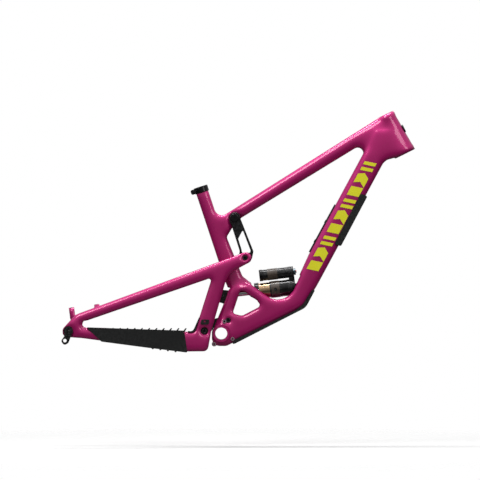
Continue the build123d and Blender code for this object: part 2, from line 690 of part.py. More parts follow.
def derailleur_hanger():
    """Hanger round the axle with the threaded derailleur eye."""
    half = HUB_SPACING / 2
    solid = pin(REAR_AXLE, 13.4, -half - 14, -half - 8.1)
    corners = [
        (-450.0, 6.0, 2), (-427.5, 2.0, 2), (-438.0, -26.0, 8),
        (-450.0, -33.0, 7), (-459.5, -20.0, 7), (-449.5, -6.0, 6),
    ]
    solid += slab(side_face(corners), -half - 14, -half - 8.1)
    solid -= pin(REAR_AXLE, REAR_AXLE_RADIUS + FIT, -120, 0)
    solid -= pin((-448.0, -19.0), 5.0, -120, 0)
    return solid


def hanger_nut():
    """Flanged nut holding the hanger to the dropout."""
    half = HUB_SPACING / 2
    solid = ring(REAR_AXLE, 9.6, REAR_AXLE_RADIUS + FIT, -half - 16.4, -half - 14.05)
    return solid


def brake_inserts():
    """Threaded inserts of the brake posts, one group."""
    pieces = []
    for spot in BRAKE_POSTS:
        pieces.append(post(spot, 4.55, -19, 0) - post(spot, 3.0, -20, 1))
    return Compound(children=pieces)


# ================================================================ upper link
def upper_link():
    """Upper link: forked head, cut-out legs and a wide lower eye."""
    outer = [
        (23.5, 322.0, 0), (23.5, 349.0, 14.2), (52.5, 349.0, 14.2), (56.0, 330.0, 8), (93.0, 237.0, 10),
        (88.0, 212.0, 12), (60.0, 200.0, 12), (50.5, 222.0, 10), (53.0, 238.0, 10), (29.5, 312.0, 10),
    ]
    window = [
        (62.0, 298.0, 2), (49.0, 273.0, 3), (58.5, 242.5, 4),
        (60.0, 233.0, 3), (83.0, 233.0, 3), (84.5, 239.0, 3),
    ]
    low, high = HEAD_POCKET_HALF + 0.4, TOP_TUBE_HALF + 1.0
    cheek = slab(side_face(outer), low, high)
    cheek = fillet(rims(cheek, low, high, 30), 2.0)
    solid = cheek + mirror(cheek, about=Plane.XZ)
    web = [(36.5, 296.0, 3), (66.0, 296.0, 3), (60.0, 288.0, 3), (50.0, 272.0, 3), (43.5, 272.0, 2)]
    solid += slab(side_face(web), -low - 1.2, low + 1.2)
    solid += pin(UPPER_ARM_PIVOT, 17.5, -LINK_EYE_HALF, LINK_EYE_HALF)
    cut = slab(side_face(window), -40, 40)
    solid -= cut - pin(UPPER_ARM_PIVOT, 15.8, -41, 41)
    solid -= pin(UPPER_FRAME_PIVOT, AXLE_RADIUS + FIT, -40, 40)
    solid -= pin(UPPER_ARM_PIVOT, BEARING_RADIUS + FIT, -40, 40)
    return solid


# ================================================================ lower link
def turned(point, centre, degrees):
    """Side position turned anticlockwise about a centre."""
    angle = math.radians(degrees)
    x, z = point[0] - centre[0], point[1] - centre[1]
    cosine, sine = math.cos(angle), math.sin(angle)
    return (centre[0] + x * cosine - z * sine, centre[1] + x * sine + z * cosine)


def eye_seen_from_link(share):
    """Rear eye of the shock and its direction forwards, in the link's own frame, at a share of travel."""
    (along_x, along_z), length = shock_axis()
    reach = length - SHOCK_STROKE * share
    eye = (SHOCK_FRONT[0] + along_x * reach, SHOCK_FRONT[1] + along_z * reach)
    eye = turned(eye, SHOCK_FRONT, LINK_SWING * SHOCK_SWING_SHARE * share)
    seen = turned(eye, LOWER_FRAME_PIVOT, LINK_SWING * share)
    ahead = turned((-along_x, -along_z), (0, 0), LINK_SWING * (1 + SHOCK_SWING_SHARE) * share)
    return seen, ahead


def lower_link():
    """Lower link: clevis for the shock, hub on the frame and arm to the swingarm."""
    rise = [
        (-8.5, 90.5, 2), (3.5, 125.5, 3), (24.0, 124.0, 9), (32.0, 82.0, 20), (34.0, 36.0, 11),
        (20.0, 24.5, 8), (4.0, 32.0, 4), (2.0, 60.0, 10), (7.0, 86.0, 3),
    ]
    reach = [
        (24.0, 50.0, 4), (-8.0, 45.5, 8), (-26.0, 40.0, 8), (-56.0, 20.0, 8), (-56.0, -3.0, 8),
        (-38.0, -3.0, 6), (-24.0, 12.0, 4), (0.0, 30.0, 4), (20.0, 26.0, 4),
    ]
    solid = slab(side_face(rise), -LINK_HALF, LINK_HALF) + slab(side_face(reach), -LINK_HALF, LINK_HALF)
    solid += pin(LOWER_ARM_PIVOT, 13.0, -LINK_EYE_HALF, LINK_EYE_HALF)
    solid += pin(LOWER_FRAME_PIVOT, BEARING_RADIUS + 2.6, -LINK_HALF, LINK_HALF)
    solid -= pin((0, 0), SHELL_RADIUS + 1.0, -60, 60)
    gap = EYE_WIDTH / 2 + 0.5
    for share in (0.0, 0.12, 0.25, 0.38, 0.5, 0.62, 0.75, 0.88, 1.0):
        centre, ahead = eye_seen_from_link(share)
        solid -= pin(centre, EYE_RADIUS + 1.6, -gap, gap)
        lane = axis_plane(centre, ahead) * (Pos(0, 0, 40) * Box(2 * gap, 2 * SHAFT_RADIUS + 6, 80))
        solid -= lane
    solid -= pin(SHOCK_REAR, SHOCK_BOLT_RADIUS + FIT, -40, 40)
    solid -= pin(LOWER_FRAME_PIVOT, BEARING_RADIUS + FIT, -40, 40)
    solid -= pin(LOWER_ARM_PIVOT, AXLE_RADIUS + FIT, -40, 40)
    return solid


# ================================================================ pivot hardware
def pivot_axle(centre, half):
    """Plain pivot axle with a key socket at both ends."""
    solid = pin(centre, AXLE_RADIUS, -half, half)
    solid -= socket(centre, 8.0, half - 4, half + 1)
    solid -= socket(centre, 8.0, -half - 1, -half + 4)
    return solid


def bearing_pair(centre, inner_face):
    """Sealed bearings on both sides of a pivot, one group."""
    solid = ring(centre, BEARING_RADIUS, AXLE_RADIUS + FIT, inner_face, inner_face + BEARING_WIDTH)
    outer, inner = BEARING_RADIUS - 1.2, AXLE_RADIUS + 1.2
    solid -= ring(centre, outer, inner, inner_face + BEARING_WIDTH - 0.5, inner_face + BEARING_WIDTH + 1)
    return both(solid)


def cap_pair(centre, radius, low, high):
    """Domed pivot caps on both sides, one group."""
    solid = pin(centre, radius, low, high)
    rim = solid.edges().filter_by(GeomType.CIRCLE).group_by(Axis.Y)[-1]
    solid = fillet(rim, (high - low) * 0.55)
    solid -= socket(centre, 8.0, high - 2.5, high + 1)
    return both(solid)


def arm_pivot_screws():
    """Screws in the swingarm bosses of the upper link pivot, one group."""
    face = ARM_FRONT_GAP + 13.0
    solid = pin(UPPER_ARM_PIVOT, AXLE_RADIUS, ARM_FRONT_GAP + 0.3, face)
    solid -= socket(UPPER_ARM_PIVOT, 9.0, face - 6.0, face + 1.0)
    return both(solid)


# ================================================================ shock
def shock_axis():
    """Unit direction from the front eye to the rear eye and the length between them."""
    run = (SHOCK_REAR[0] - SHOCK_FRONT[0], SHOCK_REAR[1] - SHOCK_FRONT[1])
    length = math.hypot(run[0], run[1])
    return (run[0] / length, run[1] / length), length


def shock_plane(distance, rise):
    """Plane across the shock at a distance from its front eye, raised above the axis."""
    along, length = shock_axis()
    x = SHOCK_FRONT[0] + along[0] * distance + along[1] * rise
    z = SHOCK_FRONT[1] + along[1] * distance - along[0] * rise
    return Plane((x, 0, z), x_dir=(0, 1, 0), z_dir=(along[0], 0, along[1]))


def shock_rod(radius, low, high, rise=0.0):
    """Round bar along the shock between two distances from its front eye."""
    return shock_plane((low + high) / 2, rise) * Cylinder(radius, high - low)


def shock_head():
    """Shock head with the front eye, the can flange and the reservoir bridge."""
    solid = shock_rod(21.0, 14, 30)
    solid += shock_rod(CAN_RADIUS - 0.6, 22, 30)
    solid += pin(SHOCK_FRONT, 13.0, -12, 12)
    solid += shock_plane(8, 0) * Box(22, 20, 24)
    bridge = shock_plane(22, 24) * Box(20, 40, 16)
    bridge = fillet(bridge.edges().filter_by(Axis.Y), 3)
    solid += bridge
    solid += shock_rod(RESERVOIR_RADIUS, 15, 30, RESERVOIR_RISE)
    solid -= pin(SHOCK_FRONT, 8.0 + FIT, -40, 40)
    solid -= shock_plane(14, RESERVOIR_RISE) * Cylinder(6.3, 10)
    return solid


def air_can():
    """Air can sleeve."""
    solid = shock_rod(CAN_RADIUS, 30.1, 88)
    solid += shock_rod(CAN_RADIUS + 0.6, 30.1, 36)
    solid -= shock_rod(CAN_BORE, 20, 100)
    for step in range(3):
        place = 44 + 3.2 * step
        groove = shock_rod(CAN_RADIUS + 3, place, place + 1.2)
        solid -= groove - shock_rod(CAN_RADIUS - 0.6, place - 1, place + 3)
    return solid


def inner_can():
    """Coated rear part of the air can."""
    return shock_rod(CAN_RADIUS - 1.5, 88.1, 119) - shock_rod(CAN_BORE, 80, 130)


def can_collar():
    """End collar of the can with grip flats."""
    solid = shock_rod(CAN_RADIUS + 1.2, 119.1, COLLAR_END)
    solid = chamfer(solid.edges().filter_by(GeomType.CIRCLE), 1.2)
    solid -= shock_rod(SHAFT_RADIUS + 3.1, 100, 150)
    solid -= shock_rod(CAN_BORE, 110, COLLAR_END - 5)
    for turn in range(12):
        notch = Rot(0, 0, 30 * turn) * (Pos(CAN_RADIUS + 1.6, 0, 0) * Cylinder(1.5, 8))
        solid -= shock_plane(COLLAR_END - 8, 0) * notch
    return solid


def wiper_seal():
    """Wiper seal round the shaft."""
    seal = shock_rod(SHAFT_RADIUS + 3.0, COLLAR_END - 8, COLLAR_END + 1.5)
    return seal - shock_rod(SHAFT_RADIUS + FIT, 100, 160)


def can_band():
    """Label-free band on the can."""
    return shock_rod(CAN_RADIUS + 0.7, 60, 84) - shock_rod(CAN_RADIUS + 0.1, 50, 90)


def air_valve():
    """Air valve with its cap."""
    origin = shock_plane(72, 0).origin
    return pin((origin.X, origin.Z), 4.6, -CAN_RADIUS - 1.9, -CAN_RADIUS - 0.8)


def reservoir():
    """Piggyback reservoir tube."""
    solid = shock_rod(RESERVOIR_RADIUS - 0.5, 30.1, 104, RESERVOIR_RISE)
    solid -= shock_rod(RESERVOIR_RADIUS - 3.0, 20, 120, RESERVOIR_RISE)
    return solid


def reservoir_cap():
    """End cap of the reservoir."""
    solid = shock_rod(RESERVOIR_RADIUS + 0.3, 104.1, 114, RESERVOIR_RISE)
    solid = fillet(solid.edges().filter_by(GeomType.CIRCLE), 1.8)
    return solid


def reservoir_band():
    """Coloured band round the reservoir."""
    solid = shock_rod(RESERVOIR_RADIUS + 0.2, 62, 90, RESERVOIR_RISE)
    return solid - shock_rod(RESERVOIR_RADIUS - 0.4, 50, 100, RESERVOIR_RISE)


def front_bushing():
    """Bushing in the front eye."""
    return ring(SHOCK_FRONT, 8.0, SHOCK_BOLT_RADIUS + FIT, -12.0, 12.0)


def front_spacers():
    """Spacers each side of the front eye, one group."""
    return both(ring(SHOCK_FRONT, 9.5, SHOCK_BOLT_RADIUS + FIT, 12.3, TUNNEL_HALF - 0.1))


def shock_bolt():
    """Bolt through the front eye, entered from the left."""
    face = DOWN_TUBE_HALF - 2.3
    solid = pin(SHOCK_FRONT, SHOCK_BOLT_RADIUS, 3.0 - DOWN_TUBE_HALF, face)
    solid += pin(SHOCK_FRONT, 8.2, face, face + 3.8)
    solid -= socket(SHOCK_FRONT, 7.0, face + 1.0, face + 10)
    return solid


def climb_lever():
    """Two-position lever on the reservoir head; it turns about the reservoir axis."""
    solid = shock_rod(9.5, 8.5, 13.8, RESERVOIR_RISE)
    solid += shock_rod(6.2, 8.5, 18.5, RESERVOIR_RISE)
    blade = shock_plane(10.8, RESERVOIR_RISE) * (Pos(-13, 0, 0) * Box(20, 7, 3.4))
    solid += blade
    solid -= shock_rod(4.0 + FIT, 0, 30, RESERVOIR_RISE)
    return solid


def compression_knob():
    """Small adjuster in the middle of the lever."""
    solid = shock_rod(4.0, 6.0, 18.4, RESERVOIR_RISE)
    slot = shock_plane(6.0, RESERVOIR_RISE) * Box(6, 1.2, 2.4)
    return solid - slot


def damper_shaft():
    """Polished shaft of the shock."""
    along, length = shock_axis()
    return shock_rod(SHAFT_RADIUS, 96, length - EYE_RADIUS - 4.1)


def piston():
    """Piston head inside the can."""
    return shock_rod(CAN_BORE - 0.1, 89.5, 95.9)


def shock_eye():
    """Rear eye body screwed on the shaft."""
    along, length = shock_axis()
    solid = shock_rod(SHAFT_RADIUS + 1.5, length - EYE_RADIUS - 4, length - 6)
    solid += pin(SHOCK_REAR, EYE_RADIUS, -EYE_WIDTH / 2, EYE_WIDTH / 2)
    solid = solid & pin(SHOCK_REAR, 60, -EYE_WIDTH / 2, EYE_WIDTH / 2)
    solid -= pin(SHOCK_REAR, 7.0 + FIT, -40, 40)
    return solid


def rear_bushing():
    """Bushing and pin of the rear eye."""
    return pin(SHOCK_REAR, 7.0, -EYE_WIDTH / 2, EYE_WIDTH / 2)


def rear_eye_screws():
    """Screws in the clevis of the lower link, one group."""
    gap = EYE_WIDTH / 2 + 0.6
    solid = pin(SHOCK_REAR, SHOCK_BOLT_RADIUS, gap, LINK_HALF)
    solid -= socket(SHOCK_REAR, 5.0, LINK_HALF - 2.6, LINK_HALF + 1)
    return both(solid)


def rebound_knob():
    """Rebound adjuster at the rear eye; it turns about the shaft axis."""
    along, length = shock_axis()
    place = length - 29.0
    solid = shock_rod(SHAFT_RADIUS + 1.4, place - 2.5, place + 2.5)
    for turn in range(16):
        notch = Rot(0, 0, 22.5 * turn) * (Pos(SHAFT_RADIUS + 2.0, 0, 0) * Cylinder(1.0, 8))
        solid -= shock_plane(place, 0) * notch
    solid -= shock_rod(SHAFT_RADIUS + FIT, place - 9, place + 9)
    return solid


def travel_ring():
    """Rubber travel ring that the wiper seal pushes along the shaft."""
    rubber = shock_rod(SHAFT_RADIUS + 1.6, COLLAR_END + 2, COLLAR_END + 5)
    return rubber - shock_rod(SHAFT_RADIUS + FIT, 120, 160)


PIECES = (
    ("front_triangle", front_triangle),
    ("bracket_sleeve", bracket_sleeve),
    ("head_badge", head_badge),
    ("seat_collar", seat_collar),
    ("seat_clamp_bolt", seat_clamp_bolt),
    ("down_tube_guard", down_tube_guard),
    ("shuttle_guard", shuttle_guard),
    ("tab_inserts", tab_inserts),
    ("cable_ports", cable_ports),
    ("storage_door", storage_door),
    ("door_hinge_pin", door_hinge_pin),
    ("bottle_bolts", bottle_bolts),
    ("door_seal", door_seal),
    ("storage_latch", storage_latch),
    ("swingarm", swingarm),
    ("chainstay_protector", chainstay_protector),
    ("strut_protector", strut_protector),
    ("cable_grommet", cable_grommet),
    ("rear_axle", rear_axle),
    ("derailleur_hanger", derailleur_hanger),
    ("hanger_nut", hanger_nut),
    ("brake_inserts", brake_inserts),
    ("upper_link", upper_link),
    ("lower_link", lower_link),
    ("arm_pivot_screws", arm_pivot_screws),
    ("shock_head", shock_head),
    ("air_can", air_can),
    ("inner_can", inner_can),
    ("can_collar", can_collar),
    ("wiper_seal", wiper_seal),
    ("can_band", can_band),
    ("air_valve", air_valve),
    ("reservoir", reservoir),
    ("reservoir_cap", reservoir_cap),
    ("reservoir_band", reservoir_band),
    ("front_bushing", front_bushing),
    ("front_spacers", front_spacers),
    ("shock_bolt", shock_bolt),
    ("climb_lever", climb_lever),
    ("compression_knob", compression_knob),
    ("damper_shaft", damper_shaft),
    ("piston", piston),
    ("shock_eye", shock_eye),
    ("rear_bushing", rear_bushing),
    ("rear_eye_screws", rear_eye_screws),
    ("rebound_knob", rebound_knob),
    ("travel_ring", travel_ring),
)

for name, maker in PIECES:
    save(name, maker())

low_start = HEAD_LENGTH - SEAT_DEPTH + 0.05
save("upper_headset_seat", headset_seat(UPPER_SEAT_BORE, 2.35, 0, SEAT_DEPTH - 0.05))
save("lower_headset_seat", headset_seat(LOWER_SEAT_BORE, 2.55, low_start, HEAD_LENGTH))
save("upper_frame_axle", pivot_axle(UPPER_FRAME_PIVOT, TOP_TUBE_HALF + 1.4))
save("upper_frame_bearings", bearing_pair(UPPER_FRAME_PIVOT, HEAD_POCKET_HALF - BEARING_WIDTH - 0.1))
save("upper_frame_caps", cap_pair(UPPER_FRAME_PIVOT, 12.5, TOP_TUBE_HALF + 1.5, TOP_TUBE_HALF + 5.5))
save("upper_arm_axle", pivot_axle(UPPER_ARM_PIVOT, LINK_EYE_HALF))
save("upper_arm_bearings", bearing_pair(UPPER_ARM_PIVOT, LINK_EYE_HALF - BEARING_WIDTH - 0.2))
save("lower_frame_axle", pivot_axle(LOWER_FRAME_PIVOT, DOWN_TUBE_HALF - 3.1))
save("lower_frame_bearings", bearing_pair(LOWER_FRAME_PIVOT, LINK_HALF - BEARING_WIDTH - 0.1))
save("lower_arm_axle", pivot_axle(LOWER_ARM_PIVOT, ARM_FRONT_GAP + 14.0))
save("lower_arm_bearings", bearing_pair(LOWER_ARM_PIVOT, ARM_FRONT_GAP + 0.3))
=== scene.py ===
"""Looks of a full-suspension bicycle frame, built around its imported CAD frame.

Lengths are metres in the frame of the CAD: origin at the bottom bracket, +X forwards, +Z up.
"""

from __future__ import annotations

import json
import logging
import math
from dataclasses import dataclass
from enum import Enum
from typing import ClassVar

import bmesh
import bpy
import numpy as np
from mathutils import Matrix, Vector

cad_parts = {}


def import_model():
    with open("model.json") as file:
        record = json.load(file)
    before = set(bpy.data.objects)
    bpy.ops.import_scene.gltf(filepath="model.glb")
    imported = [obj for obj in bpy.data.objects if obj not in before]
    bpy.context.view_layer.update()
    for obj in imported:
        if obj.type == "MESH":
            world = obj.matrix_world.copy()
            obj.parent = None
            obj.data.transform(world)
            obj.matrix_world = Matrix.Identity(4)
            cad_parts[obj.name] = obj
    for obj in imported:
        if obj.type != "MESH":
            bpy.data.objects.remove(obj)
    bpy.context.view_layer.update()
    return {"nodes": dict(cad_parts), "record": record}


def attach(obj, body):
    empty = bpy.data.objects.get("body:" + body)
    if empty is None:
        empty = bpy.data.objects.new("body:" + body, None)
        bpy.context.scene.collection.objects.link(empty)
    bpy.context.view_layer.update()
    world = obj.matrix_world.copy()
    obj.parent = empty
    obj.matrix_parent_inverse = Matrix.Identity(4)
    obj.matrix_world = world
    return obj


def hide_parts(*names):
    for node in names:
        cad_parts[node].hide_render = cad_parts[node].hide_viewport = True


LOG = logging.getLogger("bicycle_frame")
Colour = tuple[float, float, float]
Point = tuple[float, float]
NODE_SPACING = 190.0
DUST_COLOUR: Colour = (0.55, 0.52, 0.48)
CARBON_SLOT = "carbon_magenta"


class Body(Enum):
    """CAD bodies that carry pieces made here."""

    FRONT = "front_frame"
    SWINGARM = "rear_swingarm"


class Side(Enum):
    """Sides of the bicycle, as the sign of y."""

    DRIVE = -1.0
    LEFT = 1.0


# ---------------------------------------------------------------- shader groups
class Canvas:
    """A node tree with short calls for placing and linking nodes."""

    def __init__(self, tree: bpy.types.NodeTree) -> None:
        """Keep the tree.

        Args:
            tree: Tree that nodes are placed in.
        """
        self.tree = tree
        self.column = 0

    def add(self, kind: str, **settings: object) -> bpy.types.Node:
        """Place one node.

        Args:
            kind: Blender's node type name.
            settings: Attributes to set, or socket names with a value.

        Returns:
            The new node.
        """
        node = self.tree.nodes.new(kind)
        node.location = (self.column * NODE_SPACING, 0.0)
        self.column += 1
        for key, value in settings.items():
            if hasattr(node, key):
                setattr(node, key, value)
            else:
                node.inputs[key.replace("_", " ")].default_value = value
        return node

    def link(self, source: bpy.types.NodeSocket, target: bpy.types.NodeSocket) -> None:
        """Join an output to an input.

        Args:
            source: Output socket.
            target: Input socket.
        """
        self.tree.links.new(source, target)

    def math(
        self, operation: str, first: object, second: object = None, clamp: bool = False,
    ) -> bpy.types.NodeSocket:
        """Place a Math node.

        Args:
            operation: Blender's name of the operation.
            first: Socket or number for the first input.
            second: Socket or number for the second input.
            clamp: Keep the result between 0 and 1.

        Returns:
            The value output.
        """
        node = self.add("ShaderNodeMath", operation=operation, use_clamp=clamp)
        for socket, value in zip(node.inputs, (first, second)):
            if value is None:
                continue
            if isinstance(value, bpy.types.NodeSocket):
                self.link(value, socket)
            else:
                socket.default_value = value
        return node.outputs[0]

    def mix(self, factor: object, first: object, second: object) -> bpy.types.NodeSocket:
        """Mix two colours.

        Args:
            factor: Socket or number.
            first: Socket or colour at 0.
            second: Socket or colour at 1.

        Returns:
            The colour output.
        """
        node = self.add("ShaderNodeMix", data_type="RGBA")
        wanted = ((node.inputs[0], factor), (node.inputs[6], first), (node.inputs[7], second))
        for socket, value in wanted:
            if isinstance(value, bpy.types.NodeSocket):
                self.link(value, socket)
            elif isinstance(value, tuple):
                socket.default_value = (*value, 1.0)
            else:
                socket.default_value = value
        return node.outputs[2]

    def remap(
        self, value: bpy.types.NodeSocket, low: float, high: float, to_low: float, to_high: float,
    ) -> bpy.types.NodeSocket:
        """Stretch a value from one span to another.

        Args:
            value: Socket to stretch.
            low: Start of the incoming span.
            high: End of the incoming span.
            to_low: Start of the outgoing span.
            to_high: End of the outgoing span.

        Returns:
            The stretched value output.
        """
        node = self.add("ShaderNodeMapRange")
        self.link(value, node.inputs["Value"])
        spans = (("From Min", low), ("From Max", high), ("To Min", to_low), ("To Max", to_high))
        for name, number in spans:
            node.inputs[name].default_value = number
        return node.outputs["Result"]


class Effect(Enum):
    """Shader groups that several finishes share."""

    GRAIN = "fine grain"
    WEAR = "edge wear"
    DUST = "settled dust"
    BRUSH = "turned lines"
    PEEL = "lacquer ripple"
    PEBBLE = "rubber pebble"


class EffectLibrary:
    """Builds each shared shader group once."""

    def __init__(self) -> None:
        """Make every group."""
        self.groups: dict[Effect, bpy.types.NodeTree] = {
            Effect.GRAIN: self._grain(),
            Effect.WEAR: self._wear(),
            Effect.DUST: self._dust(),
            Effect.BRUSH: self._brush(),
            Effect.PEEL: self._peel(),
            Effect.PEBBLE: self._pebble(),
        }

    @staticmethod
    def _start(
        effect: Effect, inputs: dict[str, float], outputs: tuple[str, ...],
    ) -> tuple[Canvas, bpy.types.Node, bpy.types.Node]:
        """Open a new group with its sockets.

        Args:
            effect: Which group it is.
            inputs: Input names with their usual values.
            outputs: Output names.

        Returns:
            The canvas, the group's input node and its output node.
        """
        tree = bpy.data.node_groups.new(effect.value, "ShaderNodeTree")
        for name, value in inputs.items():
            socket = tree.interface.new_socket(name, in_out="INPUT", socket_type="NodeSocketFloat")
            socket.default_value = value
        for name in outputs:
            tree.interface.new_socket(name, in_out="OUTPUT", socket_type="NodeSocketFloat")
        canvas = Canvas(tree)
        return canvas, canvas.add("NodeGroupInput"), canvas.add("NodeGroupOutput")

    @staticmethod
    def _object_noise(
        canvas: Canvas, scale: bpy.types.NodeSocket, detail: float,
        stretch: tuple[float, float, float] = (1.0, 1.0, 1.0),
    ) -> bpy.types.NodeSocket:
        """Noise in the object's own coordinates.

        Args:
            canvas: Where to place it.
            scale: Socket with the noise scale.
            detail: Noise detail.
            stretch: Scale along each axis.

        Returns:
            The noise value output.
        """
        place = canvas.add("ShaderNodeTexCoord")
        bend = canvas.add("ShaderNodeMapping", Scale=stretch)
        noise = canvas.add("ShaderNodeTexNoise", Detail=detail)
        canvas.link(place.outputs["Object"], bend.inputs["Vector"])
        canvas.link(bend.outputs[0], noise.inputs["Vector"])
        canvas.link(scale, noise.inputs["Scale"])
        return noise.outputs["Fac"]

    def _grain(self) -> bpy.types.NodeTree:
        """Broad and fine mottling of a surface.

        Returns:
            The group.
        """
        usual = {"Scale": 60.0, "Contrast": 1.0}
        canvas, start, end = self._start(Effect.GRAIN, usual, ("Broad", "Fine"))
        broad = self._object_noise(canvas, start.outputs["Scale"], 3.0)
        finer = canvas.math("MULTIPLY", start.outputs["Scale"], 14.0)
        fine = self._object_noise(canvas, finer, 2.0)
        for source, name in ((broad, "Broad"), (fine, "Fine")):
            centred = canvas.math("SUBTRACT", source, 0.5)
            spread = canvas.math("MULTIPLY_ADD", centred, start.outputs["Contrast"])
            spread.node.inputs[2].default_value = 0.5
            spread.node.use_clamp = True
            canvas.link(spread, end.inputs[name])
        return canvas.tree

    def _wear(self) -> bpy.types.NodeTree:
        """Mask of edges that hands and dirt have rubbed.

        Returns:
            The group.
        """
        canvas, start, end = self._start(Effect.WEAR, {"Amount": 0.5, "Scale": 180.0}, ("Mask",))
        shape = canvas.add("ShaderNodeNewGeometry")
        sharp = canvas.remap(shape.outputs["Pointiness"], 0.52, 0.60, 0.0, 1.0)
        patch = self._object_noise(canvas, start.outputs["Scale"], 4.0)
        broken = canvas.remap(patch, 0.42, 0.62, 0.0, 1.0)
        mask = canvas.math("MULTIPLY", sharp, broken, clamp=True)
        share = canvas.math("MULTIPLY", mask, start.outputs["Amount"], clamp=True)
        canvas.link(share, end.inputs["Mask"])
        return canvas.tree

    def _dust(self) -> bpy.types.NodeTree:
        """Mask of faces that look up, broken into soft patches.

        Returns:
            The group.
        """
        canvas, start, end = self._start(Effect.DUST, {"Amount": 0.2, "Scale": 25.0}, ("Mask",))
        shape = canvas.add("ShaderNodeNewGeometry")
        split = canvas.add("ShaderNodeSeparateXYZ")
        canvas.link(shape.outputs["Normal"], split.inputs[0])
        upward = canvas.remap(split.outputs["Z"], 0.35, 1.0, 0.0, 1.0)
        patch = self._object_noise(canvas, start.outputs["Scale"], 5.0)
        broken = canvas.remap(patch, 0.35, 0.7, 0.2, 1.0)
        mask = canvas.math("MULTIPLY", upward, broken, clamp=True)
        share = canvas.math("MULTIPLY", mask, start.outputs["Amount"], clamp=True)
        canvas.link(share, end.inputs["Mask"])
        return canvas.tree

    def _brush(self) -> bpy.types.NodeTree:
        """Fine lines left across the bicycle's width by turning.

        Returns:
            The group.
        """
        canvas, start, end = self._start(Effect.BRUSH, {"Scale": 900.0}, ("Lines",))
        lines = self._object_noise(canvas, start.outputs["Scale"], 2.0, (0.12, 1.0, 0.12))
        canvas.link(lines, end.inputs["Lines"])
        return canvas.tree

    def _peel(self) -> bpy.types.NodeTree:
        """Slow ripple in a lacquer and the sparkle of its flakes.

        Returns:
            The group.
        """
        usual = {"Scale": 70.0, "Flake Scale": 2600.0}
        canvas, start, end = self._start(Effect.PEEL, usual, ("Height", "Flake"))
        ripple = self._object_noise(canvas, start.outputs["Scale"], 1.0)
        canvas.link(ripple, end.inputs["Height"])
        place = canvas.add("ShaderNodeTexCoord")
        cells = canvas.add("ShaderNodeTexVoronoi", feature="F1")
        canvas.link(place.outputs["Object"], cells.inputs["Vector"])
        canvas.link(start.outputs["Flake Scale"], cells.inputs["Scale"])
        split = canvas.add("ShaderNodeSeparateColor")
        canvas.link(cells.outputs["Color"], split.inputs[0])
        canvas.link(split.outputs[0], end.inputs["Flake"])
        return canvas.tree

    def _pebble(self) -> bpy.types.NodeTree:
        """Small raised cells of moulded rubber.

        Returns:
            The group.
        """
        canvas, start, end = self._start(Effect.PEBBLE, {"Scale": 900.0}, ("Height",))
        place = canvas.add("ShaderNodeTexCoord")
        cells = canvas.add("ShaderNodeTexVoronoi", feature="SMOOTH_F1")
        canvas.link(place.outputs["Object"], cells.inputs["Vector"])
        canvas.link(start.outputs["Scale"], cells.inputs["Scale"])
        canvas.link(canvas.math("SUBTRACT", 1.0, cells.outputs["Distance"]), end.inputs["Height"])
        return canvas.tree

    def place(self, canvas: Canvas, effect: Effect, **values: float) -> bpy.types.Node:
        """Put a group into a material.

        Args:
            canvas: The material's canvas.
            effect: Which group.
            values: Input names, with _ for a space, and their values.

        Returns:
            The group node.
        """
        node = canvas.add("ShaderNodeGroup", node_tree=self.groups[effect])
        for key, value in values.items():
            node.inputs[key.replace("_", " ")].default_value = value
        return node


